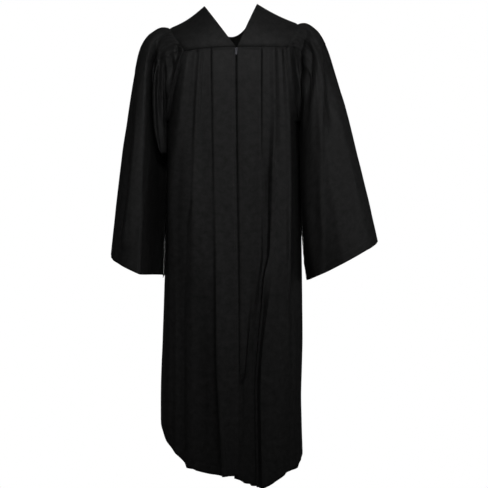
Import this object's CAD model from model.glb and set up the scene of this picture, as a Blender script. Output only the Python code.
import math

import bpy
import numpy as np
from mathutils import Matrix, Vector, noise


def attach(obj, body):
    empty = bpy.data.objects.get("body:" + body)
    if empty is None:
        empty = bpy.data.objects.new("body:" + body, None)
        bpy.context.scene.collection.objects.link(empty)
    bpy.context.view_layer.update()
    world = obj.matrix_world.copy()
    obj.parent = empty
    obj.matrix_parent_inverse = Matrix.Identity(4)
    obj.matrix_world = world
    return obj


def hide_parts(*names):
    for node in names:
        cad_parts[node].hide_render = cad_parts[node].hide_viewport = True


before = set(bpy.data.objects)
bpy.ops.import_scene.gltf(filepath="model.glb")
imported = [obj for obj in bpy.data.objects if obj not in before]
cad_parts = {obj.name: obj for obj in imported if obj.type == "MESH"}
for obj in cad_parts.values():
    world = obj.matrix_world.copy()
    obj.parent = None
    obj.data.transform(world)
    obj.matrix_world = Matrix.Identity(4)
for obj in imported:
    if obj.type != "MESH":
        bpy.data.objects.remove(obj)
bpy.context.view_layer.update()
bpy.ops.object.select_all(action="DESELECT")
print("frame loaded")

# A drop is a distance below the origin, which lies between the two side-neck points.
# The front faces -Y, and the wearer's right is at -X.
mm = 0.001
right, left = -1, 1  # the wearer's sides, and the sign of X there
sideName = {right: "right", left: "left"}
cloth = {
    "wall": 0.6 * mm,
    "seamGap": 0.3 * mm,  # between two sewn pieces
    "seamTuck": 2.2 * mm,  # the lower piece of a seam runs this far in under the upper one
    "seamSink": 0.9 * mm,  # the cloth dips this far into a seam
    "seamWidth": 4.0 * mm,  # over this width
    "perStep": 10,  # columns or rows for each step of the tables below
    "yokeSteps": 6,
    "armholeSteps": 5,
    "skirtRows": 110,
    "underarmDrop": 0.330,
    "seedShift": (7.3, 3.1, 5.7),  # between the waves of one seed and the next
    "waveShare": 0.3,  # the waves' size across the cloth, as a share of their size down it
    "edgeRounds": 3,  # how often the directions round an armhole are smoothed
}


def curveThrough(places, values):
    # a smooth curve through a few values that never runs past them; values may have further axes
    x, y = np.asarray(places, float), np.asarray(values, float)
    step = np.diff(x).reshape((-1,) + (1,) * (y.ndim - 1))
    slope = np.diff(y, axis=0) / step
    before, after = 2 * step[1:] + step[:-1], step[1:] + 2 * step[:-1]
    same = slope[:-1] * slope[1:] > 0
    lower, upper = np.where(same, slope[:-1], 1.0), np.where(same, slope[1:], 1.0)
    inner = np.where(same, (before + after) / (before / lower + after / upper), 0.0)
    tangent = np.concatenate((slope[:1], inner, slope[-1:]))

    def value(at):
        at = np.clip(np.asarray(at, float), x[0], x[-1])
        i = np.clip(np.searchsorted(x, at, side="right") - 1, 0, len(x) - 2)
        shape = at.shape + (1,) * (y.ndim - 1)
        width = (x[i + 1] - x[i]).reshape(shape)
        u = (at - x[i]).reshape(shape) / width
        start = (1 + 2 * u) * (1 - u) ** 2 * y[i] + u * (1 - u) ** 2 * width * tangent[i]
        end = u * u * (3 - 2 * u) * y[i + 1] - u * u * (1 - u) * width * tangent[i + 1]
        return start + end

    return value


def overKnots(values, at):
    # a smooth curve through values at the knots 0, 1, 2 and so on
    return curveThrough(np.arange(len(values)), values)(at)


def mix(start, end, part):
    return start * (1 - part) + end * part


def softStep(value, low, high):
    t = np.clip((np.asarray(value, float) - low) / (high - low), 0, 1)
    return t * t * (3 - 2 * t)


def unit(vectors):
    return vectors / np.maximum(np.linalg.norm(vectors, axis=-1, keepdims=True), 1e-12)


def gridNormals(grid, outward, closed=False):
    down = np.gradient(grid, axis=0)
    if closed:
        along = np.roll(grid, -1, axis=1) - np.roll(grid, 1, axis=1)
    else:
        along = np.gradient(grid, axis=1)
    return unit(np.cross(along, down)) * outward


def distancesDown(grid):
    steps = np.linalg.norm(np.diff(grid, axis=0), axis=-1)
    return np.concatenate((np.zeros_like(steps[:1]), np.cumsum(steps, axis=0)))


def distancesAcross(grid):
    return distancesDown(grid.swapaxes(0, 1)).T


def edgeDistances(grid):
    down, across = distancesDown(grid), distancesAcross(grid)
    return {"top": down, "bottom": down[-1:] - down, "first": across, "last": across[:, -1:] - across}


def placesOn(line, distance, at):
    # points of a line at places along it
    return np.stack([np.interp(at, distance, axis) for axis in line.T], axis=1)


def edgeFirst(grid, outward, edge, closed=False):
    # the points and normals of a piece, in rows from one of its edges on
    normals = gridNormals(grid, outward, closed)
    if edge in ("first", "last"):
        grid, normals = grid.swapaxes(0, 1), normals.swapaxes(0, 1)
    return (grid[::-1], normals[::-1]) if edge in ("bottom", "last") else (grid, normals)


def slack(points, waves, shift=0):
    # calm uneven waves, longer down the cloth than across it: each has a lift, a size and a seed
    total = np.zeros(points.shape[:2])
    for lift, size, seed in waves:
        away = Vector([part * (seed + shift) for part in cloth["seedShift"]])
        scaled = points.reshape(-1, 3) * (1 / size, 1 / size, cloth["waveShare"] / size)
        heights = [noise.noise(Vector(place) + away) for place in scaled]
        total += lift * np.array(heights).reshape(total.shape)
    return total


def creaseLift(creases, across, along):
    # Soft ridges (positive lifts) and troughs (negative) that run down the cloth. Each has places
    # along the cloth, and its distances across, widths and lifts there. The last number, if any, is
    # how many times as wide it is on its far side.
    total = np.zeros(np.broadcast(across, along).shape)
    for places, middles, widths, lifts, *beyond in creases:
        values = (np.zeros(len(places)) + value for value in (middles, widths, lifts))
        middle, width, lift = (curveThrough(places, value)(along) for value in values)
        width = np.where(across > middle, width * (beyond[0] if beyond else 1), width)
        inside = (along >= places[0]) & (along <= places[-1])
        total += np.where(inside, lift * np.exp(-(((across - middle) / width) ** 2)), 0.0)
    return total


# The body's form: half widths, depths and the middle line of its plan sections, at the drops.
body = {
    "drop": (0.100, 0.130, 0.200, 0.330, 0.500, 0.773, 0.950, 1.120, 1.320),
    "right": (0.176, 0.178, 0.180, 0.183, 0.190, 0.202, 0.209, 0.216, 0.218),
    "left": (0.176, 0.178, 0.180, 0.182, 0.188, 0.195, 0.197, 0.194, 0.200),
    "front": (0.090, 0.099, 0.112, 0.119, 0.124, 0.138, 0.148, 0.157, 0.165),
    "back": (0.100, 0.108, 0.118, 0.122, 0.126, 0.140, 0.152, 0.162, 0.172),
    "centre": (0.006, 0.006, 0.006, 0.007, 0.009, 0.013, 0.014, 0.014, 0.012),
    "squareness": {"front": 3.3, "back": 2.5},
    "planSteps": 91,
    "pastSeam": 0.06,  # a section runs on this far past the side seam
    "tableDrops": (0.06, 1.40, 269),  # first, last and number
    "tableReaches": (0, 0.44, 221),
}
curveNames = ("right", "left", "front", "back", "centre")
bodyCurve = {name: curveThrough(body["drop"], body[name]) for name in curveNames}
armhole = {  # how far the cloth reaches across, from the yoke seam down to the underarm
    "down": (0.00, 0.32, 0.66, 1.00),
    ("front", right): (0.776, 0.868, 0.945, 1.000),
    ("front", left): (0.840, 0.880, 0.950, 1.000),
    ("back", right): (0.850, 0.880, 0.940, 1.000),
    ("back", left): (0.850, 0.880, 0.940, 1.000),
}
hem = {  # drop of the hem, from the centre (0) to the side seam (1)
    "share": (0.00, 0.35, 0.60, 0.80, 1.00),
    right: (1.312, 1.312, 1.284, 1.226, 1.180),
    left: (1.322, 1.347, 1.347, 1.306, 1.270),
    "back": (1.315, 1.314, 1.302, 1.268, 1.225),
}
yoke = {
    right: {
        "neck": (0.084, -0.003), "tip": (0.181, -0.064), "dip": 0.007, "front": 0.131, "back": 0.138,
    },
    left: {
        "neck": (0.064, 0.003), "tip": (0.178, -0.052), "dip": 0.004, "front": 0.120, "back": 0.132,
    },
    "centreDrop": {"front": 0.119, "back": 0.135},
    "shoulderY": 0.004,
    "roundness": 0.90,
    "neckBackY": 0.078,
    "neckBackDrop": 0.085,
    "neckPowers": (0.9, 1.8),  # how round the back of the neck is in plan, and how pointed its dip
    "wing": 2 / 9,  # the part of the back yoke's top edge on each shoulder
    "slack": ((0.9, 0.045, 0), (0.35, 0.018, 1)),  # lift in millimetres, size and seed
    "calm": 0.03,  # the slack grows over this distance from the edges
    "seeds": {"front": 27, "back": 31},
}


def planCurve(side, facing, drop):
    # half a section of the body at one drop, from the centre to just past the side seam, and the
    # distances along it
    angle = np.linspace(0, math.pi / 2, body["planSteps"])
    power = 2 / body["squareness"][facing]
    middle = float(bodyCurve["centre"](drop)) if facing == "front" else 0.0
    depth = float(bodyCurve[facing](drop)) * (-1 if facing == "front" else 1)
    reach = side * float(bodyCurve[sideName[side]](drop))
    x = np.append(middle + (reach - middle) * np.sin(angle) ** power, reach)
    past = -math.copysign(body["pastSeam"], depth)
    y = np.append(depth * np.clip(np.cos(angle), 0, 1) ** power, past)
    plan = np.stack((x, y), axis=1)
    return plan, distancesDown(plan)


class Form:
    # one quarter of the body's form as a fine table: points and normals at any reach and drop
    def __init__(self, side, facing):
        self.side, self.facing = side, facing
        self.drops = np.linspace(*body["tableDrops"])
        self.reaches = np.linspace(*body["tableReaches"])
        table = np.empty((len(self.drops), len(self.reaches), 3))
        for row, drop in enumerate(self.drops):
            table[row, :, :2] = placesOn(*planCurve(side, facing, drop), self.reaches)
            table[row, :, 2] = -drop
        outward = -side if facing == "front" else side
        self.table = np.concatenate((table, gridNormals(table, outward)), axis=2)

    def at(self, reach, drop):
        inCell = 1.001  # just inside the table's last cell
        row = (drop - self.drops[0]) / (self.drops[1] - self.drops[0])
        row = np.clip(row, 0, len(self.drops) - inCell)
        column = np.clip(reach / self.reaches[1], 0, len(self.reaches) - inCell)
        i, j = row.astype(int), column.astype(int)
        u, v = (row - i)[..., None], (column - j)[..., None]
        near = mix(self.table[i, j], self.table[i, j + 1], v)
        far = mix(self.table[i + 1, j], self.table[i + 1, j + 1], v)
        mixed = mix(near, far, u)
        points = mixed[..., :3]
        points[..., 2] = -drop
        return points, unit(mixed[..., 3:])

    def edge(self):
        # reach of the armhole's edge, or of the side seam below it, as a curve over the drop
        share = curveThrough(armhole["down"], armhole[(self.facing, self.side)])
        corner = yoke[self.side][self.facing]
        drops = rowDrops(corner, hem[self.side][-1])[:, 0]
        reach = []
        for drop in drops:
            plan, distance = planCurve(self.side, self.facing, drop)
            part = share((drop - corner) / (cloth["underarmDrop"] - corner))
            away = np.abs(plan[:-1, 0] - plan[0, 0])
            reach.append(np.interp(away[-1] * part, away, distance[:-1]))
        return curveThrough(drops, reach)


def seamDrop(side, facing, share):
    centre = yoke["centreDrop"][facing]
    return centre + (yoke[side][facing] - centre) * share


armholeRows = cloth["armholeSteps"] * cloth["perStep"]
rowCount = armholeRows + cloth["skirtRows"] + 1


def rowDrops(seam, hemDrop):
    # drops down the columns, with the underarm on the same row in every piece
    row = np.arange(rowCount)[:, None]
    under = cloth["underarmDrop"]
    upper = seam + (under - seam) * row / armholeRows
    lower = under + (hemDrop - under) * (row - armholeRows) / cloth["skirtRows"]
    return np.where(row <= armholeRows, upper, lower)


# Lines down each front, from the centre to the side. Each has its distance from the centre-front
# line, its lift off the body's form and, at a knife pleat's edge, how far the pleat folds back
# under it. All are in millimetres, at the drops.
fronts = {
    "drops": (0.120, 0.300, 0.500, 0.680, 0.760, 0.830, 1.010, 1.060, 1.320),
    "rise": 0.008,  # folds reach their full lift this far below the yoke seam
    "tucking": (0.004, 0.012),  # and fold back fully between these
    "opening": (2, 10),  # a pleat is open below the first of these tucks and shut above the second
    "placeShift": {"before": 0.03, "open": 0.2},  # of a pleat's knots among the lines
    "columns": {"plain": 12, "pleat": 4},
    "slack": ((1.3, 0.06, 1), (0.45, 0.022, 5)),
    "calm": {"top": 0.05, "centre": (0.004, 0.020), "side": 0.03},  # where creases and slack begin
    right: [
        ((1.5, 1.5, 1.5, 1.5, 1.5, 1.5, 0.7, 0.5, 0.4), (0, 0, 0, 0, 0, 0, 0, 0, 0)),
        ((36, 35, 34, 34, 33, 33, 31, 31, 26), (1, 1.5, 2, 2, 2, 2, 3, 3, 3)),
        ((66, 65, 65, 64, 64, 65, 63, 61, 46), (3, 4, 5, 8, 9, 9, 10, 10, 11),
         (14, 14, 13, 13, 14, 14, 16, 16, 16)),
        ((73, 72, 72, 72, 72, 73, 72, 70, 55), (0, 0, -1, -4, -6, -8, -9, -9, -7)),
        ((86, 92, 96, 98, 99, 100, 101, 100, 88), (0, 0, 0, -1, -4, -11, -18, -19, -19)),
        ((102, 113, 125, 132, 136, 138, 140, 140, 132), (5, 8, 5, 0, -3, -8, -14, -15, -16),
         (14, 14, 8, 0, 0, 0, 0, 0, 0)),
        ((111, 122, 136, 148, 154, 160, 164, 165, 163), (-3, -4, -1, -1, -7, -12, -18, -19, -19)),
        ((120, 138, 164, 178, 183, 188, 193, 194, 196), (2, 3, 3, 0, -4, -8, -13, -14, -14)),
        ((130, 156, 194, 205, 210, 214, 220, 222, 228), (6, 12, 10, 4, 2, 0, -2, -2, -2)),
        ((141, 171, 224, 236, 241, 246, 252, 254, 262), (7, 10, 2, -3, -3, -3, -3, -3, -4)),
    ],
    left: [
        ((1.5, 1.5, 1.5, 1.5, 1.5, 1.5, 1.5, -12, -12), (0, 0, 0, 0, 0, 0, 0, -8, -8)),
        ((36, 36, 36, 34, 30, 24, 15, 6, 6), (1, 1.5, 2, 2, 1, 0, -0.3, -15, -15)),
        ((68, 67, 65, 62, 52, 42, 24, 20, 20), (3, 4, 6, 5, 0, -6, -17, -20, -18),
         (14, 14, 12, 5, 0, 0, 0, 0, 0)),
        ((74, 73, 71, 70, 60, 52, 36, 34, 36), (0, 0, -5, -8, -6, -11, -19, -20, -18)),
        ((87, 90, 84, 80, 66, 61, 47, 45, 51), (-1, 0, -5, -6, -5, -11, -18, -19, -17)),
        ((107, 108, 98, 90, 73, 68, 52, 50, 56), (3, 5, 8, 8, 9, 1, -6, -8, -8),
         (14, 12, 3, 0, 0, 0, 0, 0, 0)),
        ((116, 119, 118, 110, 90, 79, 60, 59, 65), (1, 4, 8, 10, 12, 13, 11, 9, 8)),
        ((123, 129, 130, 128, 118, 112, 96, 92, 100), (2, 8, 11, 10, 8, 5, 4, 5, 4)),
        ((134, 143, 144, 141, 139, 137, 136, 136, 138), (9, 14, 16, 16, 14, 8, 2, 2, 2),
         (8, 10, 10, 9, 8, 6, 0, 0, 0)),
        ((142, 158, 168, 170, 173, 176, 188, 190, 198), (-7, -11, -13, -13, -11, -6, -1, 0, 0)),
    ],
}
# The knots across one pleat, from the cloth before its fold edge to the layer under it: how far
# back they lie and how deep they are, in millimetres, when it is folded, and how far along they
# are when it is open.
pleatKnots = {
    "before": (5, 0, 0, 0, 0),
    "back": (0, 0, 0.5, 1.0, 0.12),
    "deep": (0, 0.6, 2.4, 5.5, 8.5),
    "open": (0, 0, 0.25, 0.50, 0.75),
}
# Fine creases over the folds: drops, then distances across, widths and lifts in millimetres.
frontCreases = {
    right: [
        ((0.15, 0.40, 0.80), (18, 20, 22), (9, 11, 12), (0, 0.8, 0)),
        ((0.22, 0.50, 0.95), (52, 50, 48), (7, 9, 8), (0, -0.9, 0)),
        ((0.17, 0.38, 0.62), (101, 110, 118), (6, 8, 9), (0, -1.6, 0)),
        ((0.40, 0.62, 0.90), (120, 124, 128), (9, 12, 12), (0, 1.8, 0)),
        ((0.30, 0.52, 0.85), (150, 168, 182), (8, 10, 12), (0, -2.2, 0)),
        ((0.70, 0.95, 1.32), (92, 88, 84), (9, 10, 11), (0, 2.6, 2.0)),
        ((0.78, 1.05, 1.32), (118, 120, 116), (9, 11, 12), (0, -3, -2)),
        ((0.60, 0.90, 1.32), (182, 190, 196), (7, 8, 9), (0, 2.6, 3.2)),
        ((0.74, 1.00, 1.32), (150, 152, 150), (8, 9, 10), (0, 1.6, 2.2)),
        ((0.90, 1.10, 1.32), (44, 40, 34), (6, 7, 7), (0, -1.2, -0.8)),
    ],
    left: [
        ((0.15, 0.40, 0.72), (17, 19, 18), (9, 11, 11), (0, 0.8, 0)),
        ((0.20, 0.45, 0.66), (54, 52, 48), (7, 9, 8), (0, -0.9, 0)),
        ((0.46, 0.50, 0.66), (84, 88, 90), (7, 9, 9), (0, -6.5, 0)),
        ((0.48, 0.56, 0.74), (96, 94, 88), (3, 3.5, 4), (0, 2.2, 0)),
        ((0.33, 0.45, 0.50), (96, 96, 97), (9, 11, 8), (0, 2.6, 0)),
        ((0.64, 0.84, 1.10), (108, 96, 88), (10, 12, 12), (0, 3.2, 0)),
        ((0.60, 0.86, 1.35), (150, 152, 156), (8, 9, 10), (0, -2.4, -2.8)),
        ((0.80, 1.05, 1.35), (118, 122, 128), (8, 10, 11), (0, 2.0, 2.6)),
        ((0.62, 0.95, 1.35), (192, 196, 200), (7, 8, 9), (0, 2.4, 3.0)),
    ],
}


def frontKnots(side, drop, tucking):
    # distance and lift, in millimetres, of each knot across a front, with its place among the lines
    drops = fronts["drops"]
    lines = [[curveThrough(drops, values)(drop) for values in line] for line in fronts[side]]
    columns, placeShift = fronts["columns"], fronts["placeShift"]
    knots, places, counts = [], [], []
    for number, (across, lift, *tuck) in enumerate(lines):
        if not tuck:
            knots.append((across, lift))
            places.append(number)
            counts.append(columns["plain"])
            continue
        folded = tuck[0] * tucking
        shut = softStep(folded, *fronts["opening"])
        gap, fall = lines[number + 1][0] - across, lines[number + 1][1] - lift
        for before, back, deep, spread in zip(*pleatKnots.values()):
            shift = -back * folded * shut + spread * gap * (1 - shut)
            knots.append((across - before + shift, lift - deep * shut + spread * fall * (1 - shut)))
            places.append(number - placeShift["before"] * before + placeShift["open"] * spread)
            counts.append(columns["pleat"])
    distances, lifts = np.array(knots).swapaxes(0, 1)
    return distances, lifts, np.array(places), counts


def frontGrid(side):
    form = Form(side, "front")
    last = len(fronts[side])
    places, counts = frontKnots(side, np.zeros(1), 0)[2:]
    params = [knot + np.arange(count) / count for knot, count in enumerate(counts)]
    params = np.concatenate(params + [[len(counts)]])
    shares = np.interp(params, np.arange(len(counts) + 1), np.append(places, last)) / last
    seam, edge = seamDrop(side, "front", shares), form.edge()
    drop = rowDrops(seam, curveThrough(hem["share"], hem[side])(shares))
    reach, lift = np.empty((2,) + drop.shape)
    for column, param in enumerate(params):
        drops = drop[:, column]
        rise = softStep(drops - seam[column], 0, fronts["rise"])
        tucking = softStep(drops - seam[column], *fronts["tucking"])
        distances, lifts = frontKnots(side, drops, tucking)[:2]
        reach[:, column] = overKnots(np.vstack((distances, edge(drops) / mm)), param) * mm
        lift[:, column] = overKnots(np.vstack((lifts * rise, 0 * drops)), param)
    points, normals = form.at(reach, drop)
    points[..., 0] += np.minimum(reach, 0) * side  # past the centre, under the other front
    fine = creaseLift(frontCreases[side], reach / mm, drop) + slack(points, fronts["slack"], side)
    calm = softStep(drop - drop[:1], 0, fronts["calm"]["top"])
    calm *= softStep(reach, *fronts["calm"]["centre"])
    calm *= softStep(edge(drop) - reach, 0, fronts["calm"]["side"])
    return points + normals * ((lift + fine * calm) * mm)[..., None]


# The gathers, from the right side seam to the left: share of the way across at the yoke and at the
# hem, and lift in millimetres at the three drops.
back = {
    "drops": (0.135, 0.500, 1.300),
    "rise": 0.030,
    "columns": 12,
    "drift": 1 / 3,  # the share of the way to their places at the hem that is done at the underarm
    "slack": ((1.5, 0.06, 9), (0.5, 0.022, 11)),
    "calm": 0.03,
    "top": (
        0, 0.055, 0.115, 0.170, 0.228, 0.285, 0.340, 0.392, 0.445, 0.505,
        0.558, 0.612, 0.668, 0.722, 0.780, 0.835, 0.892, 0.946, 1,
    ),
    "hem": (
        0, 0.040, 0.092, 0.150, 0.212, 0.268, 0.335, 0.390, 0.452, 0.520,
        0.580, 0.632, 0.695, 0.752, 0.812, 0.862, 0.915, 0.962, 1,
    ),
    "lifts": (
        (0, 1, -2, 3, -3, 4, -3, 3, -3, 4, -3, 3, -3, 4, -3, 3, -2, 1, 0),
        (0, 1, -4, 6, -7, 8, -6, 5, -8, 9, -7, 6, -8, 8, -6, 5, -4, 1, 0),
        (0, 2, -7, 9, -11, 13, -9, 8, -13, 14, -10, 9, -12, 12, -8, 8, -7, 2, 0),
    ),
}
# Fine creases, as on the fronts, but across from the centre of the back, positive to the left.
backCreases = [
    ((0.135, 0.18, 0.30), (-128, -130, -136), (4, 4, 6), (0, 1.6, 0)),
    ((0.135, 0.17, 0.26), (-104, -105, -107), (4, 4, 5), (0, 1.4, 0)),
    ((0.135, 0.18, 0.34), (-66, -67, -70), (4, 4, 6), (0, -1.6, 0)),
    ((0.135, 0.17, 0.24), (-38, -38, -39), (3, 4, 5), (0, 1.4, 0)),
    ((0.135, 0.19, 0.36), (-14, -14, -15), (4, 4, 6), (0, 1.5, 0)),
    ((0.135, 0.17, 0.27), (12, 12, 13), (3, 4, 5), (0, -1.4, 0)),
    ((0.135, 0.18, 0.31), (44, 45, 47), (4, 4, 6), (0, 1.6, 0)),
    ((0.135, 0.17, 0.25), (70, 71, 72), (3, 4, 5), (0, 1.3, 0)),
    ((0.135, 0.18, 0.33), (99, 101, 106), (4, 4, 6), (0, -1.5, 0)),
    ((0.135, 0.17, 0.26), (131, 132, 135), (3, 4, 5), (0, 1.4, 0)),
    ((0.40, 0.75, 1.32), (-96, -100, -104), (8, 10, 12), (0, 2.2, 3)),
    ((0.50, 0.90, 1.32), (-30, -28, -26), (7, 9, 11), (0, -2.0, -3)),
    ((0.45, 0.80, 1.32), (34, 38, 42), (8, 10, 11), (0, 2.4, 2.8)),
    ((0.55, 0.95, 1.32), (112, 116, 120), (7, 9, 11), (0, -2.2, -3)),
]


def backGrid():
    params = np.arange((len(back["top"]) - 1) * back["columns"] + 1) / back["columns"]
    blend = np.interp(np.arange(rowCount), (0, armholeRows, rowCount - 1), (0, back["drift"], 1))
    share = mix(overKnots(back["top"], params), overKnots(back["hem"], params), blend[:, None])
    out = np.abs(2 * share - 1)
    hemCurve = curveThrough(hem["share"], hem["back"])
    points, normals = np.empty((2, rowCount, len(params), 3))
    drop, lift = np.empty((2, rowCount, len(params)))
    for side in (right, left):
        form = Form(side, "back")
        mine = share < 0.5 if side == right else share >= 0.5
        seam = seamDrop(side, "back", out)
        drops = rowDrops(seam, hemCurve(out) + (hem[side][-1] - hem["back"][-1]) * out**3)
        spots, outward = form.at(out * form.edge()(drops), drops)
        points[mine], normals[mine], drop[mine] = spots[mine], outward[mine], drops[mine]
        for column, param in enumerate(params):
            knots = curveThrough(back["drops"], back["lifts"])(drops[:, column])
            rise = softStep(drops[:, column] - seam[:, column], 0, back["rise"])
            lift[mine[:, column], column] = (overKnots(knots.T, param) * rise)[mine[:, column]]
    fine = creaseLift(backCreases, points[..., 0] / mm, drop) + slack(points, back["slack"])
    away = edgeDistances(points)
    calm = softStep(np.minimum(away["first"], away["last"]), 0, back["calm"])
    calm *= softStep(drop - drop[:1], 0, back["calm"])
    return points + normals * ((lift + fine * calm) * mm)[..., None]


def rounded(start, end, share, roundness):
    # a path from the shoulder to a yoke seam that leaves level and arrives steep
    fall = share + roundness * (1 - np.cos(share * math.pi / 2) - share)
    reach = share + roundness * (np.sin(share * math.pi / 2) - share)
    mix = np.stack((fall, reach, fall), axis=-1)
    return start + (end - start) * mix


def shoulderPoints(side, share):
    part = yoke[side]
    x = part["neck"][0] + (part["tip"][0] - part["neck"][0]) * share
    z = part["neck"][1] + (part["tip"][1] - part["neck"][1]) * share
    z -= part["dip"] * np.sin(math.pi * share)
    return np.stack((side * x, np.full_like(x, yoke["shoulderY"]), z), axis=-1)


yokeShares = np.linspace(0, 1, cloth["yokeSteps"] * cloth["perStep"] + 1)


def yokeRelief(grid, outward, seed):
    # faint slack in the yoke, none at its edges
    fromEdges = np.min(list(edgeDistances(grid).values()), axis=0)
    lift = slack(grid, yoke["slack"], seed) * softStep(fromEdges, 0, yoke["calm"])
    return grid + gridNormals(grid, outward) * (lift * mm)[..., None]


def frontYokeGrid(side, seamRow):
    share = np.abs(seamRow[:, 0] - seamRow[0, 0]) / abs(seamRow[-1, 0] - seamRow[0, 0])
    down = np.tile(yokeShares[:, None], len(share))
    return rounded(shoulderPoints(side, share)[None], seamRow[None], down, yoke["roundness"])


def backYokeGrid(seamRow):
    place = np.linspace(0, 1, len(seamRow))
    wing = yoke["wing"]
    turn = math.pi * np.clip((place - wing) / (1 - 2 * wing), 0, 1)
    rightNeck, leftNeck = shoulderPoints(right, np.zeros(1)), shoulderPoints(left, np.zeros(1))
    neck = rightNeck + (leftNeck - rightNeck) * ((1 - np.cos(turn)) / 2)[:, None]
    dip = np.maximum(np.sin(turn), 0)
    inPlan, inDrop = yoke["neckPowers"]
    neck[:, 1] += (yoke["neckBackY"] - yoke["shoulderY"]) * dip**inPlan
    neck[:, 2] += (-yoke["neckBackDrop"] - neck[:, 2]) * dip**inDrop
    rightTop = shoulderPoints(right, np.clip(1 - place / wing, 0, 1))
    leftTop = shoulderPoints(left, np.clip(1 - (1 - place) / wing, 0, 1))
    top = np.where((place > 1 - wing)[:, None], leftTop, neck)
    top = np.where((place < wing)[:, None], rightTop, top)
    share = np.tile(yokeShares[:, None], len(place))
    return rounded(top[None], seamRow[None], share, yoke["roundness"] * (1 - dip))


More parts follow.
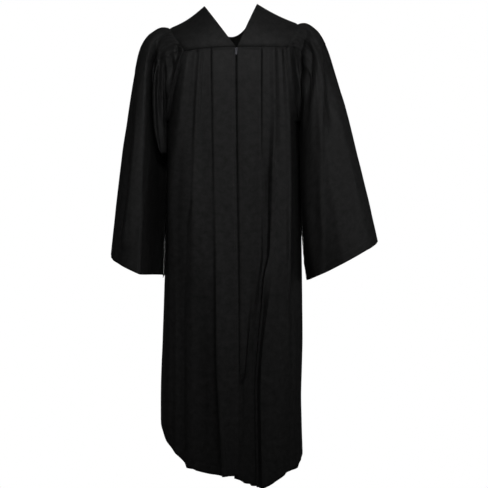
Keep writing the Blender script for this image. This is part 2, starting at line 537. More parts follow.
# The rings, from under the sleeve head to the cuff: the outer and the inner end in the front view,
# the reach to the front and to the back, the ring's middle in depth, and how far its front stands
# above its plane. The folds go once round from the shoulder tip: share of the way round at the
# cuff, and lift in millimetres at the head, upper arm, elbow and cuff. The front falls back by
# a share of its depth beside the body: in full up to one distance from the centre, and not at all
# beyond another. A swag hangs in front of it, between an outer and an inner edge. Distances in
# fall and swag are in millimetres, at the drops.
sleeves = {
    "reach": 0.014,  # of the head, out of the armhole before it turns down
    "flare": (3.5, 1.15),  # how much the head spreads in depth and in height
    "headRings": 3,
    "headRows": 8,
    "columns": {"front": 20, "back": 8},  # for each fold
    "folds": 11,  # on each of the two halves
    "headFolds": 6,  # of them from the shoulder tip to the yoke seam
    "squareness": 2.15,
    "ringSteps": 721,
    "clearance": 0.005,
    "clearBelow": 0.310,
    "heldShare": 0.05,  # the head keeps its place over this share of the sleeve
    "rows": 130,
    "rowGrowth": 1.25,
    "behind": {"reach": 0.020, "depth": (0.010, 0.055), "width": 0.045, "until": (0.56, 0.70)},
    "seamFall": 0.050,  # the cloth falls back over this length from the armhole
    "fallLate": {right: 0.009, left: 0.0},  # beside the body it starts this far from the armhole
    "swagEnd": 0.020,  # a swag ends over this length
    "gatherStart": 0.008,  # the gathers reach their lift this far from the armhole
    "gatherPeak": 0.3,  # they fade out from this share of their run
    "gatherWidths": (0.15, 0.195, 0.255),  # in folds: at the head, the peak and the tip
    "foldPlaces": (0.0, 0.05, 0.3, 0.6, 1.0),
    "slack": ((1.6, 0.055, 15), (0.5, 0.02, 19)),
    "calm": 0.05,  # fine creases grow over this share of the sleeve
    "back": (0.102, 0.108, 0.112, 0.118, 0.124, 0.128),
    "middleY": (0.000, 0.000, -0.002, -0.006, -0.010, -0.014),
    right: {
        "outerX": (0.234, 0.264, 0.288, 0.315, 0.338, 0.354),
        "outerDrop": (0.079, 0.120, 0.220, 0.390, 0.560, 0.700),
        "innerX": (0.187, 0.178, 0.175, 0.176, 0.182, 0.190),
        "innerDrop": (0.352, 0.385, 0.445, 0.545, 0.665, 0.775),
        "front": (0.100, 0.106, 0.110, 0.116, 0.124, 0.130),
        "rise": (0, 0, 0, 0, 0, 0),
        "cuff": (
            0.000, 0.052, 0.100, 0.150, 0.196, 0.236, 0.275, 0.316, 0.362, 0.410, 0.455,
            0.500, 0.545, 0.592, 0.640, 0.688, 0.732, 0.776, 0.820, 0.862, 0.906, 0.952,
        ),
        "lifts": (
            (1, -1, 2, -1, 2, -2, 2, -2, 2, -1, 1, 0, 1, -2, 3, -3, 4, -4, 5, -3, 4, -3),
            (0, -1, 2, 1, 1, -1, 1, -2, 1, -1, 0, -1, 1, -4, 6, -8, 6, -7, 8, -6, 6, -3),
            (0, -1, 2, 1, 2, 1, 0, -2, 2, -2, 0, -1, 1, -4, 8, -10, 6, -8, 9, -7, 5, -3),
            (0, -1, 2, 2, 3, 2, 0, -3, 2, -2, 0, -1, 1, -3, 9, -9, 7, -8, 9, -7, 6, -3),
        ),
        "fall": {
            "drop": (0.07, 0.10, 0.17, 0.30, 0.42, 0.47, 0.60, 0.78),
            "depth": (0.20, 0.45, 0.70, 0.80, 1.00, 1.45, 1.55, 1.15),
            "full": (192, 204, 224, 229, 218, 200, 200, 202),
            "none": (218, 230, 244, 249, 254, 256, 258, 262),
            "curve": (1.9, 1.9, 1.9, 1.9, 1.6, 1.2, 1.15, 1.15),
        },
        "swag": {
            "forth": 0.55,
            "drop": (0.09, 0.13, 0.20, 0.285, 0.357, 0.395, 0.415, 0.426),
            "outer": (208, 216, 225, 227, 224, 218, 209, 200),
            "inner": (150, 158, 162, 164, 165, 167, 171, 182),
            "soft": 7,
            "end": 0.430,
        },
    },
    left: {
        "outerX": (0.228, 0.258, 0.293, 0.341, 0.382, 0.411),
        "outerDrop": (0.068, 0.110, 0.215, 0.385, 0.545, 0.666),
        "innerX": (0.187, 0.178, 0.175, 0.178, 0.190, 0.210),
        "innerDrop": (0.352, 0.385, 0.445, 0.545, 0.665, 0.778),
        "front": (0.100, 0.106, 0.110, 0.116, 0.122, 0.126),
        "rise": (0.000, 0.000, 0.004, 0.008, 0.012, 0.015),
        "cuff": (
            0.000, 0.055, 0.108, 0.158, 0.205, 0.246, 0.286, 0.328, 0.372, 0.416, 0.458,
            0.500, 0.542, 0.588, 0.636, 0.682, 0.728, 0.774, 0.818, 0.860, 0.904, 0.952,
        ),
        "lifts": (
            (1, -1, 2, -2, 2, -1, 2, -2, 2, -1, 1, 0, 1, -2, 3, -3, 4, -4, 5, -3, 4, -3),
            (0, -1, 1, 0, 2, 1, 1, -2, 1, -1, 0, -1, 1, -4, 6, -7, 7, -7, 7, -6, 6, -3),
            (0, -2, 1, 1, 3, 2, 1, -2, 1, -1, 0, -1, 1, -5, 8, -9, 7, -8, 8, -7, 6, -3),
            (0, -2, 2, 1, 3, 3, 1, -2, 2, -1, 0, -1, 1, -4, 8, -9, 7, -7, 9, -8, 5, -3),
        ),
        "fall": {
            "drop": (0.07, 0.10, 0.17, 0.30, 0.40, 0.60, 0.78),
            "depth": (0.25, 0.55, 0.68, 0.80, 0.95, 1.05, 1.05),
            "full": (192, 194, 188, 177, 175, 177, 184),
            "none": (216, 218, 216, 212, 212, 216, 224),
            "curve": (2.0, 2.2, 2.6, 2.8, 2.8, 2.8, 2.8),
        },
        "swag": {
            "forth": 0.35,
            "drop": (0.09, 0.13, 0.20, 0.29, 0.34, 0.356),
            "outer": (198, 202, 203, 203, 201, 196),
            "inner": (160, 168, 177, 180, 182, 188),
            "soft": 5,
            "end": 0.362,
        },
    },
}
# Fine creases of the sleeves: shares of the way to the cuff, then the folds' numbers, counted round
# from the shoulder tip, widths in folds and lifts in millimetres.
sleeveCreases = {
    right: [
        ((0.02, 0.20, 0.45), (1.4, 1.5, 1.6), (0.2, 0.3, 0.3), (0, 2.0, 0)),
        ((0.30, 0.60, 1.00), (2.6, 2.7, 2.8), (0.3, 0.35, 0.4), (0, 2.4, 2)),
        ((0.35, 0.65, 1.00), (5.4, 5.5, 5.5), (0.3, 0.3, 0.4), (0, 2.6, 2.4)),
        ((0.02, 0.12, 0.30), (8.5, 8.5, 8.6), (0.2, 0.2, 0.3), (0, 1.6, 0)),
        ((0.25, 0.55, 1.00), (14.5, 14.5, 14.4), (0.3, 0.3, 0.4), (0, 2, 2.2)),
        ((0.02, 0.16, 0.40), (17.5, 17.6, 17.6), (0.2, 0.3, 0.3), (0, 2, 0)),
        ((0.30, 0.62, 1.00), (19.4, 19.5, 19.5), (0.3, 0.4, 0.4), (0, -2, -2)),
    ],
    left: [
        ((0.02, 0.20, 0.45), (1.5, 1.6, 1.7), (0.2, 0.3, 0.3), (0, 2.2, 0)),
        ((0.26, 0.60, 1.00), (2.5, 2.6, 2.7), (0.3, 0.4, 0.4), (0, 2.2, 2)),
        ((0.20, 0.50, 1.00), (5.0, 5.0, 5.1), (0.4, 0.5, 0.5), (0, 3.0, 2)),
        ((0.02, 0.12, 0.32), (6.5, 6.5, 6.6), (0.2, 0.2, 0.3), (0, 1.8, 0)),
        ((0.25, 0.55, 1.00), (13.6, 13.6, 13.5), (0.3, 0.3, 0.4), (0, 2, 2.2)),
        ((0.02, 0.16, 0.40), (16.5, 16.6, 16.6), (0.2, 0.3, 0.3), (0, 2, 0)),
        ((0.30, 0.62, 1.00), (18.4, 18.5, 18.6), (0.3, 0.4, 0.4), (0, 2, 2)),
    ],
}
# The gathers of the sleeve heads: fold number, drift towards the tip of the gather, lift in
# millimetres, and share of the way to the cuff that it runs.
sleeveGathers = {
    right: (
        (0.6, 0.1, 0.6, 0.22), (1.2, 0.1, 0.5, 0.13), (1.9, 0.1, 0.8, 0.27), (2.5, 0.0, 0.7, 0.17),
        (3.1, 0.1, 1.0, 0.36), (3.65, 0.0, 0.8, 0.20), (4.2, 0.0, 1.1, 0.30), (4.8, -0.1, 1.0, 0.42),
        (5.35, 0.0, 1.1, 0.26), (5.9, 0.0, 1.0, 0.38), (6.5, 0.1, 0.4, 0.32), (7.1, 0.0, 0.4, 0.22),
        (7.8, 0.0, 0.3, 0.18), (8.7, 0.1, 0.2, 0.14), (13.4, 0.0, 1.0, 0.16), (14.2, 0.1, 1.3, 0.24),
        (15.0, 0.0, 1.4, 0.20), (15.8, -0.1, 1.7, 0.34), (16.6, 0.0, 1.4, 0.26), (17.4, 0.1, 1.8, 0.38),
        (18.2, 0.0, 1.4, 0.22), (19.0, -0.1, 1.7, 0.30), (19.8, 0.0, 1.3, 0.24), (20.7, 0.1, 1.2, 0.18),
        (21.5, 0.0, 1.0, 0.26),
    ),
    left: (
        (0.4, 0.0, 0.6, 0.16), (1.1, 0.1, 0.7, 0.26), (1.8, 0.0, 0.6, 0.14), (2.4, 0.1, 0.8, 0.30),
        (3.0, 0.0, 0.5, 0.18), (3.55, 0.0, 0.6, 0.34), (4.15, 0.1, 0.5, 0.22), (4.7, 0.0, 0.6, 0.28),
        (5.3, -0.1, 1.0, 0.36), (5.85, 0.0, 1.1, 0.24), (6.45, 0.0, 0.4, 0.32), (7.0, 0.1, 0.4, 0.20),
        (7.7, 0.0, 0.3, 0.16), (8.5, 0.0, 0.2, 0.12), (13.6, 0.0, 1.0, 0.18), (14.4, -0.1, 1.4, 0.26),
        (15.2, 0.0, 1.3, 0.18), (16.0, 0.1, 1.7, 0.36), (16.8, 0.0, 1.6, 0.24), (17.6, 0.0, 1.7, 0.32),
        (18.4, 0.1, 1.4, 0.20), (19.2, 0.0, 1.7, 0.34), (20.0, 0.0, 1.3, 0.22), (20.8, -0.1, 1.2, 0.26),
        (21.5, 0.0, 1.0, 0.16),
    ),
}


def gatherLift(side, across, along):
    # the gathers fade out down the sleeve as they grow wider
    peak, widths = sleeves["gatherPeak"], sleeves["gatherWidths"]
    gathers = [
        ((0, peak * run, run), (fold, fold + drift / 2, fold + drift), widths, (lift, lift, 0))
        for fold, drift, lift, run in sleeveGathers[side]
    ]
    return creaseLift(gathers, across, along)


# Ridges and troughs down the fronts of the sleeves: drops, then distances from the centre, widths
# and lifts in millimetres, and how many times as wide some are on their outer side.
sleeveRidges = {
    right: [
        ((0.16, 0.25, 0.34, 0.44, 0.53, 0.63, 0.68), (262, 266, 270, 279, 289, 302, 306),
         (24, 26, 28, 28, 28, 28, 28), (0, 7, 8, 8, 7, 5, 0), 0.15),
        ((0.26, 0.34, 0.44, 0.53, 0.63, 0.68), (265, 269, 278, 288, 301, 305), 6, (0, 3, 3, 3, 3, 0)),
        ((0.13, 0.17, 0.21, 0.25, 0.34, 0.4, 0.43), (208, 214, 219, 221, 218, 209, 198), 4,
         (0, 2, 4, 4, 4, 4, 2)),
        ((0.12, 0.17, 0.24, 0.35), (205, 208, 211, 208), (7, 8, 8, 7), (0, -8, -8, 0)),
        ((0.15, 0.2, 0.28, 0.34), (199, 200, 200, 199), 4, (0, 4, 4, 0)),
        ((0.14, 0.2, 0.28, 0.36), (192, 193, 193, 192), (4, 5, 5, 5), (0, -7, -7, 0)),
        ((0.12, 0.17, 0.24, 0.31, 0.37), (189, 187, 184, 182, 184), (7, 7, 7, 6, 5), (0, 5, 5, 3, 0)),
        ((0.13, 0.18, 0.26, 0.36, 0.43), (172, 171, 171, 176, 183), (8, 8, 8, 6, 5),
         (0, -8, -8, -5, 0)),
        ((0.18, 0.3, 0.44, 0.56, 0.66), (282, 284, 295, 307, 320), (13, 14, 14, 14, 14),
         (0, -10, -11, -8, 0)),
    ],
    left: [
        ((0.12, 0.16, 0.26, 0.35, 0.45, 0.56, 0.66, 0.8), (238, 232, 216, 211, 211, 214, 220, 230),
         (18, 20, 22, 22, 22, 22, 22, 22), (2, 8, 13, 15, 15, 14, 12, 8), 1.5),
        ((0.1, 0.15, 0.2, 0.26, 0.32, 0.4), (256, 261, 266, 270, 270, 268), (10, 13, 15, 15, 15, 15),
         (-6, -18, -23, -21, -11, 0), 1.3),
        ((0.11, 0.15, 0.2, 0.27, 0.34), (210, 211, 212, 206, 204), (7, 8, 8, 8, 8),
         (-3, -11, -10, -5, 0)),
        ((0.1, 0.15, 0.22, 0.28, 0.35), (197, 196, 195, 194, 192), (7, 8, 8, 8, 8), (1, 6, 6, 3, 0)),
        ((0.12, 0.16, 0.24, 0.34, 0.46), (172, 174, 175, 177, 180), (13, 14, 14, 12, 9),
         (0, -4, -7, -5, 0)),
        ((0.16, 0.22, 0.35, 0.5, 0.62, 0.8), (241, 241, 241, 242, 246, 250), (9, 10, 10, 10, 10, 12),
         (0, 5, 6, 6, 5, 3), 0.5),
    ],
}


def ridgeLift(points, side):
    # the ridges on the front half of a sleeve, in millimetres
    away, drop = side * points[..., 0] / mm, -points[..., 2]
    return creaseLift(sleeveRidges[side], away, drop) * (points[..., 1] < 0)


def ringPoints(side, ring, shares):
    # points of one ring at the given shares of the way round, from its outer end by the front
    part = sleeves[side]
    angle = np.linspace(0, 2 * math.pi, sleeves["ringSteps"])
    power = 2 / sleeves["squareness"]
    out, forth = (np.sign(way) * np.abs(way) ** power for way in (np.cos(angle), np.sin(angle)))
    x, drop = (
        mix(part["inner" + name][ring], part["outer" + name][ring], (1 + out) / 2)
        for name in ("X", "Drop")
    )
    reach = np.where(forth > 0, part["front"][ring], sleeves["back"][ring])
    y = sleeves["middleY"][ring] - reach * forth
    points = np.stack((side * x, y, part["rise"][ring] * forth - drop), axis=1)
    distance = distancesDown(points)
    return placesOn(points, distance, shares * distance[-1])


def fallenBack(points, side, travel, foldAt):
    # the front of the sleeve falls back beside the body, but for a swag that hangs from the head
    fall, swag = sleeves[side]["fall"], sleeves[side]["swag"]
    away, drop = side * points[..., 0] / mm, -points[..., 2]
    names = ("depth", "full", "none", "curve")
    depth, full, none, curve = (curveThrough(fall["drop"], fall[name])(drop) for name in names)
    outer, inner = (curveThrough(swag["drop"], swag[name])(drop) for name in ("outer", "inner"))
    soft = swag["soft"]
    hanging = softStep(outer - away, -soft, soft) * softStep(away - inner, -soft, soft)
    hanging *= 1 - softStep(drop, swag["end"] - sleeves["swagEnd"], swag["end"])
    share = np.clip((none - away) / (none - full), 0, 1) ** curve
    depth = depth * share * (1 - swag["forth"] * hanging)
    bodySide = softStep(foldAt, sleeves["headFolds"] - 1, sleeves["headFolds"] + 1)
    begun = travel[:, None] - sleeves["fallLate"][side] * bodySide
    depth *= np.sin(np.clip(begun / sleeves["seamFall"], 0, 1) * math.pi / 2)
    return points - (np.minimum(points[..., 1], 0) * depth)[..., None] * (0, 1, 0)


def closedBehind(points, side, travel):
    # behind the body's edge the sleeve comes in a little, so that it closes off the view past it
    part = sleeves["behind"]
    away, drop = side * points[..., 0], -points[..., 2]
    inner = curveThrough(sleeves[side]["innerDrop"], sleeves[side]["innerX"])(drop)
    amount = part["reach"] * softStep(points[..., 1], *part["depth"])
    amount *= (1 - softStep(away - inner, 0, part["width"])) * (1 - softStep(drop, *part["until"]))
    amount *= softStep(travel, 0, sleeves["seamFall"])[:, None]
    return points - amount[..., None] * (side, 0, 0)


def clearOfBody(points, side):
    x, y, drop = points[..., 0], points[..., 1], -points[..., 2]
    depth = np.where(y < 0, bodyCurve["front"](drop), bodyCurve["back"](drop)) + sleeves["clearance"]
    square = np.where(y < 0, body["squareness"]["front"], body["squareness"]["back"])
    half = bodyCurve[sideName[side]](drop) + sleeves["clearance"]
    limit = half * np.maximum(0, 1 - (np.abs(y) / depth) ** square) ** (1 / square)
    limit = np.where(drop > sleeves["clearBelow"], limit, -1.0)
    return np.stack((side * np.maximum(side * x, limit), y, -drop), axis=-1)


def foldPlaces():
    # where the columns of a sleeve lie among its folds, closer together on the front
    front, behind = (np.arange(sleeves["folds"] * n) / n for n in sleeves["columns"].values())
    return np.concatenate((front, sleeves["folds"] + behind))


def roundLoop(line):
    # a closed line of points at the columns of the sleeve
    at = foldPlaces() * cloth["perStep"]
    i = at.astype(int)
    return mix(line[i], line[(i + 1) % len(line)], (at - i)[:, None])


def sleeveGrid(side, loop):
    part = sleeves[side]
    foldAt = foldPlaces()
    around = distancesDown(np.append(loop, loop[:1], axis=0))
    headShare = around[:-1] / around[-1]
    cuffShare = overKnots(part["cuff"] + (1.0,), foldAt)
    outward = unit((loop - loop.mean(axis=0)) * (0, *sleeves["flare"]) + (side, 0, 0))
    stations = [loop, loop + outward * sleeves["reach"]]
    for ring in range(len(part["outerX"])):
        blend = min(1.0, (ring + 1) / sleeves["headRings"])
        stations.append(ringPoints(side, ring, mix(headShare, cuffShare, blend)))
    stations = np.array(stations)
    travel = distancesDown(stations).mean(axis=1)
    head = np.linspace(0, travel[1], sleeves["headRows"], endpoint=False)
    below = (np.arange(sleeves["rows"]) / (sleeves["rows"] - 1)) ** sleeves["rowGrowth"]
    steps = np.concatenate((head, travel[1] + (travel[-1] - travel[1]) * below))
    tube = curveThrough(travel, stations)(steps)
    base = closedBehind(fallenBack(tube, side, steps, foldAt), side, steps)
    table = np.pad(part["lifts"], ((1, 0), (0, 0)))  # no folds at the armhole
    table = np.append(table, table[:, :1], axis=1)
    byFold = curveThrough(travel[-1] * np.array(sleeves["foldPlaces"]), table)(steps)
    lift = overKnots(byFold.T, foldAt).T
    along = np.tile((steps / steps[-1])[:, None], len(foldAt))
    across = np.tile(foldAt, (len(steps), 1))
    fine = creaseLift(sleeveCreases[side], across, along) + slack(base, sleeves["slack"], side)
    fine = (fine + ridgeLift(tube, side)) * softStep(along, 0, sleeves["calm"])
    fine += gatherLift(side, across, along) * softStep(steps, 0, sleeves["gatherStart"])[:, None]
    grid = base + gridNormals(base, side, closed=True) * ((lift + fine) * mm)[..., None]
    held = steps <= travel[1] + sleeves["heldShare"] * (travel[-1] - travel[1])
    return np.where(held[:, None, None], grid, clearOfBody(grid, side))


def sunkSeams(grid, outward, edges):
    # dips the cloth into its seams
    away, normals = edgeDistances(grid), gridNormals(grid, outward)
    dips = [np.exp(-((away[edge] / cloth["seamWidth"]) ** 2)) for edge in edges]
    return grid - normals * (cloth["seamSink"] * sum(dips))[..., None]


def overEdge(grid, outward, edge):
    # one edge of a piece: its points, the way into the piece, and its normals
    grid, normals = edgeFirst(grid, outward, edge)
    return np.stack((grid[0], unit(grid[1] - grid[0]), normals[0]))


def tuckedUnder(grid, outward, over, closed=False):
    # the top edge runs in under its neighbour's edge, so that no light passes the seam
    edge, into, up = over
    depth = cloth["wall"] + cloth["seamGap"]
    dip = (depth + cloth["seamSink"]) * np.exp(-((distancesDown(grid) / cloth["seamWidth"]) ** 2))
    low = grid - gridNormals(grid, outward, closed) * dip[..., None]
    low[0] = edge - up * depth
    return np.concatenate(((edge + into * cloth["seamTuck"] - up * depth)[None], low))


def linked(name, mesh):
    piece = bpy.data.objects.new(name, mesh)
    bpy.context.scene.collection.objects.link(piece)
    return piece


def addSheet(name, grid, outward, closed=False):
    # one cloth piece: a mesh through the grid, its UV in metres along the cloth, and its wall inside
    rows, columns = grid.shape[:2]
    wide = columns if closed else columns - 1
    row, column = np.meshgrid(np.arange(rows - 1), np.arange(wide), indexing="ij")
    ends = ((row, column), (row, column + 1), (row + 1, column + 1), (row + 1, column))
    faces = np.stack([(i * columns + j % columns).ravel() for i, j in ends], axis=1)
    ring = np.concatenate((grid, grid[:, :1]), axis=1) if closed else grid
    across, down = distancesAcross(ring), distancesDown(ring)
    fromMiddle = across - across[:, -1:] / 2
    uv = [np.stack((fromMiddle[end], down[end]), axis=-1).reshape(-1, 2) for end in ends]
    uv = np.stack(uv, axis=1)
    if outward < 0:
        faces, uv = faces[:, ::-1], uv[:, ::-1]
    mesh = bpy.data.meshes.new(name)
    mesh.from_pydata(grid.reshape(-1, 3).tolist(), [], faces.tolist())
    mesh.uv_layers.new(name="UVMap").uv.foreach_set("vector", uv.astype(np.float32).ravel())
    mesh.shade_smooth()
    piece = linked(name, mesh)
    wall = piece.modifiers.new("wall", "SOLIDIFY")
    wall.thickness = cloth["wall"]
    wall.offset = -1
    return piece


frontGrids = {side: frontGrid(side) for side in (right, left)}
backPoints = backGrid()
backYoke = backYokeGrid(backPoints[0])
yokeGrids = {side: frontYokeGrid(side, frontGrids[side][0]) for side in (right, left)}
print("body shaped")

wing = round(yoke["wing"] * (backYoke.shape[1] - 1))
backYoke = sunkSeams(yokeRelief(backYoke, 1, yoke["seeds"]["back"]), 1, ("bottom", "first", "last"))
backCloth = tuckedUnder(backPoints, 1, overEdge(backYoke, 1, "bottom"))
grids = {"yokeBack": backYoke, "back": sunkSeams(backCloth, 1, ("first", "last"))}
outwards = {"yokeBack": 1, "back": 1}
shoulders = overEdge(backYoke, 1, "top")
for side in (right, left):
    name = sideName[side].capitalize()
    outwards.update({"front" + name: -side, "yokeFront" + name: -side, "sleeve" + name: side})
    frontYoke = yokeRelief(yokeGrids[side], -side, yoke["seeds"]["front"] + side)
    frontYoke = sunkSeams(frontYoke, -side, ("bottom", "last"))
    front = tuckedUnder(frontGrids[side], -side, overEdge(frontYoke, -side, "bottom"))
    front = sunkSeams(front, -side, ("first", "last"))
    shoulder = shoulders[:, : wing + 1] if side == right else shoulders[:, -wing - 1 :]
    spots, along = np.abs(shoulder[0, :, 0]), np.abs(frontYoke[0, :, 0])
    order = np.argsort(spots)
    shoulder = [placesOn(part[order], spots[order], along) for part in shoulder]
    grids["front" + name] = front
    grids["yokeFront" + name] = tuckedUnder(frontYoke, -side, shoulder)
    # the armhole, from the shoulder tip down the front, round the underarm and up the back
    edge, column = ("first", 0) if side == right else ("last", -1)
    loop = [yokeGrids[side][:-1, -1], frontGrids[side][:armholeRows, -1]]
    loop += [backPoints[armholeRows:0:-1, column], backYoke[:0:-1, column]]
    over = [
        overEdge(frontYoke, -side, "last")[:, :-1],
        overEdge(front, -side, "last")[:, 1 : armholeRows + 1],
        overEdge(grids["back"], 1, edge)[:, armholeRows + 1 : 1 : -1],
        overEdge(backYoke, 1, edge)[:, :0:-1],
    ]
    over = np.concatenate(over, axis=1)
    for _ in range(cloth["edgeRounds"]):
        over[1:] = unit(over[1:] + np.roll(over[1:], 1, axis=1) + np.roll(over[1:], -1, axis=1))
    sleeve = sleeveGrid(side, roundLoop(np.concatenate(loop)))
    grids["sleeve" + name] = tuckedUnder(sleeve, side, [roundLoop(part) for part in over], closed=True)
print("sleeves shaped")

pieces = {}
for name, grid in grids.items():
    pieces[name] = addSheet(name, grid, outwards[name], name.startswith("sleeve"))
print("cloth pieces made")

# Sewing: rows of stitches that lie on the cloth. Each kind has its distance from an edge of a piece,
# and how far from the ends of that edge it stops.
sewing = {
    "length": 2.6 * mm,
    "pitch": 3.2 * mm,
    "thread": 0.42 * mm,
    "sunk": 0.35,  # the share of the thread's radius that lies in the cloth
    "bead": (5, 4),  # segments and rings of one stitch
    "hem": (24 * mm, 0),
    "zip": (9 * mm, 5 * mm),
    "neck": (5 * mm, 2 * mm),
    "yoke": (3 * mm, 3 * mm),
    "searchRows": 60,  # a row of stitches is within so many rows or columns of its edge
    "tackDrop": 1.016,  # a tack across the right front, below the zip
    "tackLength": 44 * mm,
    "tackInset": 1 * mm,
}


def lineOn(grid, edge, away, outward, closed=False):
    # points and outward normals of a line that keeps its distance from one edge of a piece
    grid, normals = edgeFirst(grid, outward, edge, closed)
    lines = distancesDown(grid[: sewing["searchRows"]])
    points, outs = [], []
    for column in range(grid.shape[1]):
        row = float(np.interp(away, lines[:, column], np.arange(len(lines))))
        i, part = int(row), row - int(row)
        points.append(mix(grid[i, column], grid[i + 1, column], part))
        outs.append(mix(normals[i, column], normals[i + 1, column], part))
    if closed:
        points.append(points[0])
        outs.append(outs[0])
    return np.array(points), unit(np.array(outs))


def placesAlong(line, outs, pitch, inset):
    # the middles of the stitches along a line, with the ways forth and up there
    distance = distancesDown(line)
    count = int((distance[-1] - 2 * inset) / pitch)
    at = inset + pitch * (np.arange(count) + 0.5)
    spots, up = placesOn(line, distance, at), unit(placesOn(outs, distance, at))
    forth = unit(placesOn(line, distance, at + pitch / 4) - spots)  # to a spot just ahead
    return spots, forth, unit(up - forth * (up * forth).sum(axis=1, keepdims=True))


def copiesAt(name, template, spots, forth, up):
    # one mesh of copies of the template, whose X lies along forth and Z along up
    mesh = template.data
    shape = np.array([tuple(vertex.co) for vertex in mesh.vertices])
    axes = np.stack((forth, np.cross(up, forth), up), axis=1)
    verts = spots[:, None] + np.einsum("vk,nkc->nvc", shape, axes)
    faces = [tuple(face.vertices) for face in mesh.polygons]
    faces = [tuple(v + n * len(shape) for v in face) for n in range(len(spots)) for face in faces]
    joined = bpy.data.meshes.new(name)
    joined.from_pydata(verts.reshape(-1, 3).tolist(), [], faces)
    joined.shade_smooth()
    bpy.data.objects.remove(template)
    return linked(name, joined)


def beadTemplate(length, width, height, segments, rings):
    # a long bead whose ends are blunter than a ball's
    blunt = 0.7
    bpy.ops.mesh.primitive_uv_sphere_add(segments=segments, ring_count=rings, radius=1)
    bead = bpy.context.object
    bead.rotation_euler = (0, math.pi / 2, 0)
    bpy.ops.object.transform_apply(location=False, rotation=True, scale=False)
    for vertex in bead.data.vertices:
        x, y, z = vertex.co
        x = math.copysign(abs(x) ** blunt, x)
        vertex.co = (x * length / 2, y * width / 2, z * height / 2)
    return bead


rows = {}


def sew(name, grid, edge, kind, outward, closed=False):
    away, inset = sewing[kind]
    rows.setdefault(name, []).append(lineOn(grid, edge, away, outward, closed) + (inset,))


sew("skirtSewing", grids["back"], "bottom", "hem", 1)
for side in (right, left):
    name = sideName[side].capitalize()
    front, frontYoke = grids["front" + name], grids["yokeFront" + name]
    sew("skirtSewing", front, "bottom", "hem", -side)
    sew("frontSewing", front, "first", "zip", -side)
    sew("neckSewing", frontYoke, "first", "neck", -side)
    sew("yokeSewing", frontYoke, "bottom", "yoke", -side)
    sew("sleeve" + name + "Sewing", grids["sleeve" + name], "bottom", "hem", side, closed=True)
sew("neckSewing", grids["yokeBack"][:, wing:-wing], "top", "neck", 1)
sew("yokeSewing", grids["yokeBack"], "bottom", "yoke", 1)
front = grids["frontRight"]
tackRow = int(np.argmin(np.abs(-front[:, 0, 2] - sewing["tackDrop"])))
tack = distancesAcross(front)[tackRow] < sewing["tackLength"]
line, outs = front[tackRow][tack], gridNormals(front, 1)[tackRow][tack]
rows["frontSewing"].append((line, outs, sewing["tackInset"]))
raised = sewing["thread"] / 2 * (1 - 2 * sewing["sunk"])
for name, lines in rows.items():
    parts = [placesAlong(line, outs, sewing["pitch"], inset) for line, outs, inset in lines]
    spots, forth, up = (np.concatenate(part) for part in zip(*parts))
    stitch = beadTemplate(sewing["length"], sewing["thread"], sewing["thread"], *sewing["bead"])
    pieces[name] = copiesAt(name, stitch, spots + up * raised, forth, up)
print("sewing done")

# The zip's coils lie on the tapes between the fronts' edges, one turn to each side by turns.
zipper = {
    "topDrop": 0.131,
    "bottomDrop": 1.009,
    "pitch": 1.6 * mm,
    "halfWidth": 2.6 * mm,
    "turn": (3.4 * mm, 1.0 * mm, 1.15 * mm),  # length, width and thickness of one turn
    "bead": (6, 5),
    "depth": 1.25 * mm,  # of the turns' middle, behind the cloth's face
}
drops = np.arange(zipper["topDrop"], zipper["bottomDrop"], zipper["pitch"] / 2)
sides = np.where(np.arange(len(drops)) % 2, right, left)
away = sides * (zipper["halfWidth"] - zipper["turn"][0] / 2)
depths = zipper["depth"] - bodyCurve["front"](drops)
spots = np.stack((bodyCurve["centre"](drops) + away, depths, -drops), axis=1)
forth, up = np.tile((1.0, 0.0, 0.0), (len(drops), 1)), np.tile((0.0, -1.0, 0.0), (len(drops), 1))
turn = beadTemplate(*zipper["turn"], *zipper["bead"])
pieces["zipCoils"] = copiesAt("zipCoils", turn, spots, forth, up)
print("zip coils made")


def linear(hexColour):
    # sRGB hex to the linear values that the shader takes
    values = [int(hexColour[i : i + 2], 16) / 255 for i in (1, 3, 5)]
    return [v / 12.92 if v <= 0.04045 else ((v + 0.055) / 1.055) ** 2.4 for v in values] + [1.0]


def addNode(tree, kind, settings={}, **inputs):
    # adds a node; an input goes by its name or number, and is a value or an output to link from
    node = tree.nodes.new("ShaderNode" + kind)
    for name, value in settings.items():
        setattr(node, name, value)
    for name, value in inputs.items():
        number = name[1:]
        socket = node.inputs[int(number) if number.isdigit() else name.replace("_", " ")]
        if isinstance(value, bpy.types.NodeSocket):
            tree.links.new(value, socket)
        else:
            socket.default_value = value
    return node


def newMaterial(name, finish, *values):
    material = bpy.data.materials.new(name)
    material.use_nodes = True
    material.node_tree.nodes.clear()
    shader = finish(material.node_tree, *values)
    addNode(material.node_tree, "OutputMaterial", Surface=shader.outputs[0])
    return material


def finished(tree, height, roughness, relief, **looks):
    # a height from 0 to 1 gives a relief, and the roughness between its values at 0 and at 1
    low, high = roughness
    dull = addNode(tree, "MapRange", Value=height, To_Min=low, To_Max=high).outputs["Result"]
    distance, strength = relief
    bump = addNode(tree, "Bump", Height=height, Distance=distance, Strength=strength)
    return addNode(tree, "BsdfPrincipled", Roughness=dull, Normal=bump.outputs["Normal"], **looks)


gownCloth = {
    "colour": "#131313",
    "worn": "#262626",
    "thread": 0.9 * mm,  # spacing; the real one is about 0.3 mm, drawn coarser so that it shows
    "waver": 1.2,
    "relief": (0.05 * mm, 1.0),  # height and strength
    "speckle": 18.0 * mm,
    "speckleDetail": (5.0, 0.74),
    "speckleRange": (0.3, 0.7),
    "roughness": (0.70, 0.58),  # between the threads and on them
    "specular": 0.20,
}


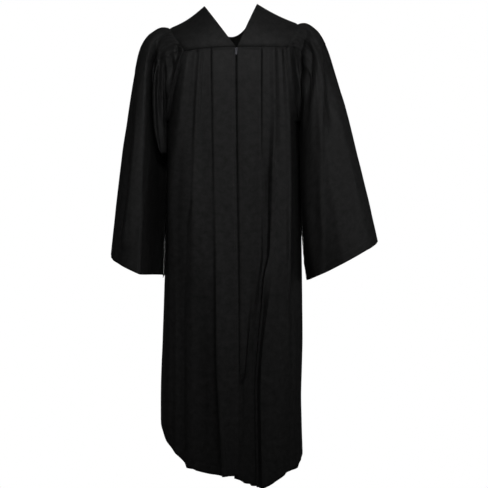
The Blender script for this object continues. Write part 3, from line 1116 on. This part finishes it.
def wovenPolyester(tree, values):
    # Plain-woven, dyed black: fine warp and weft, a soft dull shine and a slightly uneven tone.
    place = addNode(tree, "TexCoord").outputs["UV"]
    bands = math.pi / 10 / values["thread"]  # a band repeats every 2 pi / 20 at scale 1
    detail, rough = values["speckleDetail"]
    low, high = values["speckleRange"]
    warp, weft = (
        addNode(
            tree, "TexWave", {"bands_direction": axis},
            Vector=place, Scale=bands, Distortion=values["waver"], Detail=2.0,
        ).outputs["Fac"]
        for axis in "XY"
    )
    weave = addNode(tree, "Math", {"operation": "MAXIMUM"}, _0=warp, _1=weft).outputs["Value"]
    speckle = addNode(
        tree, "TexNoise", Vector=place, Scale=1 / values["speckle"], Detail=detail, Roughness=rough
    ).outputs["Fac"]
    tone = addNode(tree, "MapRange", Value=speckle, From_Min=low, From_Max=high).outputs["Result"]
    dye = addNode(
        tree, "Mix", {"data_type": "RGBA"},
        _0=tone, _6=linear(values["colour"]), _7=linear(values["worn"]),
    )
    return finished(
        tree, weave, values["roughness"], values["relief"],
        Base_Color=dye.outputs["Result"], Specular_IOR_Level=values["specular"],
    )


smallParts = {"grain": 0.8 * mm, "detail": 3.0, "spread": 0.06, "relief": (0.02 * mm, 0.6)}


def fineGrained(tree, colour, roughness, specular, metallic=0.0):
    # an even colour under a grain of less than a millimetre, which softens the highlights
    place = addNode(tree, "TexCoord").outputs["Object"]
    grain = addNode(
        tree, "TexNoise", Vector=place, Scale=1 / smallParts["grain"], Detail=smallParts["detail"]
    ).outputs["Fac"]
    roughnesses = (roughness - smallParts["spread"], roughness + smallParts["spread"])
    return finished(
        tree, grain, roughnesses, smallParts["relief"],
        Base_Color=linear(colour), Specular_IOR_Level=specular, Metallic=metallic,
    )


materials = {
    "gown_cloth": newMaterial("blackWovenPolyester", wovenPolyester, gownCloth),
    # spun thread, a little lighter than the cloth: each stitch shows as a faint dash
    "thread": newMaterial("spunPolyesterThread", fineGrained, "#1b1b1d", 0.55, 0.35),
    # drawn nylon wire: nearly black, with a weak soft shine on each turn
    "coil": newMaterial("nylonCoil", fineGrained, "#0c0c0c", 0.55, 0.2),
    # woven tape: as dull as the cloth
    "zip_tape": newMaterial("polyesterZipTape", fineGrained, "#161618", 0.7, 0.3),
    # cast and black nickel-plated: dark, with a clear highlight
    "zip_metal": newMaterial("blackNickelPlate", fineGrained, "#1c1c1e", 0.30, 0.5, 1.0),
}

# The flat cut of each sheet: the width and length of its panel, and its area where it is shaped.
cuts = {
    "back": {"node": "back", "flat": (0.62, 1.22)},
    "frontRight": {"node": "front_right", "flat": (0.36, 1.20)},
    "frontLeft": {"node": "front_left", "flat": (0.36, 1.23)},
    "yokeBack": {"node": "yoke_back", "flat": (0.37, 0.20), "area": 0.046},
    "yokeFrontRight": {"node": "yoke_front_right", "flat": (0.18, 0.15), "area": 0.018},
    "yokeFrontLeft": {"node": "yoke_front_left", "flat": (0.18, 0.15), "area": 0.019},
    "sleeveRight": {"node": "sleeve_right", "flat": (0.74, 0.66), "area": 0.431},
    "sleeveLeft": {"node": "sleeve_left", "flat": (0.74, 0.66), "area": 0.425},
}
for name, piece in pieces.items():
    finish, slot = ("coil", "zip_tape") if name == "zipCoils" else ("thread", "gown_cloth")
    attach(piece, "gown")
    if name in cuts:
        finish = "gown_cloth"
        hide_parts(cuts[name]["node"])
    piece.data.materials.append(materials[finish])
shownAsBuilt = {
    "zip_tape_right": "zip_tape", "zip_tape_left": "zip_tape",
    "zip_slider": "zip_metal", "zip_pull": "zip_metal",
}
for name, slot in shownAsBuilt.items():
    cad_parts[name].data.materials.clear()
    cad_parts[name].data.materials.append(materials[slot])
print("materials assigned")

# White seamless paper under a white room: both are bright to the camera, but give the black gown
# little light, which comes from soft lamps.
studio = {"floorDrop": 1.50, "side": 8.0, "paper": 0.35, "glow": 1.0, "ambient": 0.04}


def brightToCamera(tree, matt, bright):
    # one shader for the light in the scene, and another that the camera sees
    toCamera = addNode(tree, "LightPath").outputs["Is Camera Ray"]
    return addNode(tree, "MixShader", _0=toCamera, _1=matt.outputs[0], _2=bright.outputs[0])


def seamlessPaper(tree):
    # matt and white
    matt = addNode(tree, "BsdfDiffuse", Color=[studio["paper"]] * 3 + [1.0], Roughness=0.5)
    bright = addNode(tree, "Emission", Color=(1, 1, 1, 1), Strength=studio["glow"])
    return brightToCamera(tree, matt, bright)


bpy.ops.mesh.primitive_plane_add(size=studio["side"], location=(0, 0, -studio["floorDrop"]))
paper = bpy.context.object
paper.name = "paperFloor"
paper.data.materials.append(newMaterial("whitePaper", seamlessPaper))

world = bpy.data.worlds.new("softRoom")
bpy.context.scene.world = world
world.use_nodes = True
tree = world.node_tree
tree.nodes.clear()
levels = (studio["ambient"], studio["glow"])
room, white = (addNode(tree, "Background", Color=(1, 1, 1, 1), Strength=level) for level in levels)
addNode(tree, "OutputWorld", Surface=brightToCamera(tree, room, white).outputs[0])

# place, aim, size, power in watts and spread in degrees
lamps = {
    "key": ((0.20, -2.4, 1.0), (0, 0, -0.42), (1.8, 0.6), 3.5, 52),
    "fill": ((1.9, -2.7, -0.1), (0, 0, -0.2), (2.0, 2.0), 0.9, 70),
    "side": ((2.4, -0.9, 0.0), (0, 0, -0.45), (0.8, 0.8), 0.6, 50),
    "top": ((0.2, 0.3, 1.9), (0, 0, -0.4), (1.2, 1.2), 2.4, 180),
    "behind": ((0, 2.8, -0.7), (0, 0, -0.7), (0.8, 1.2), 3.5, 60),
}
for name, (place, aim, size, power, spread) in lamps.items():
    light = bpy.data.lights.new(name, "AREA")
    light.shape = "RECTANGLE"
    light.size, light.size_y = size
    light.energy = power
    light.spread = math.radians(spread)
    lamp = linked(name, light)
    lamp.location = place
    lamp.rotation_euler = (Vector(aim) - Vector(place)).to_track_quat("-Z", "Y").to_euler()

view = {"lens": 85, "place": (0.0271, -3.289, -0.25), "down": 7.38}
lens = bpy.data.cameras.new("camera")
lens.lens = view["lens"]
camera = linked("camera", lens)
camera.location = view["place"]
camera.rotation_euler = (math.radians(90 - view["down"]), 0, 0)
bpy.context.scene.camera = camera
bpy.context.scene.view_settings.view_transform = "Standard"
print("studio set")
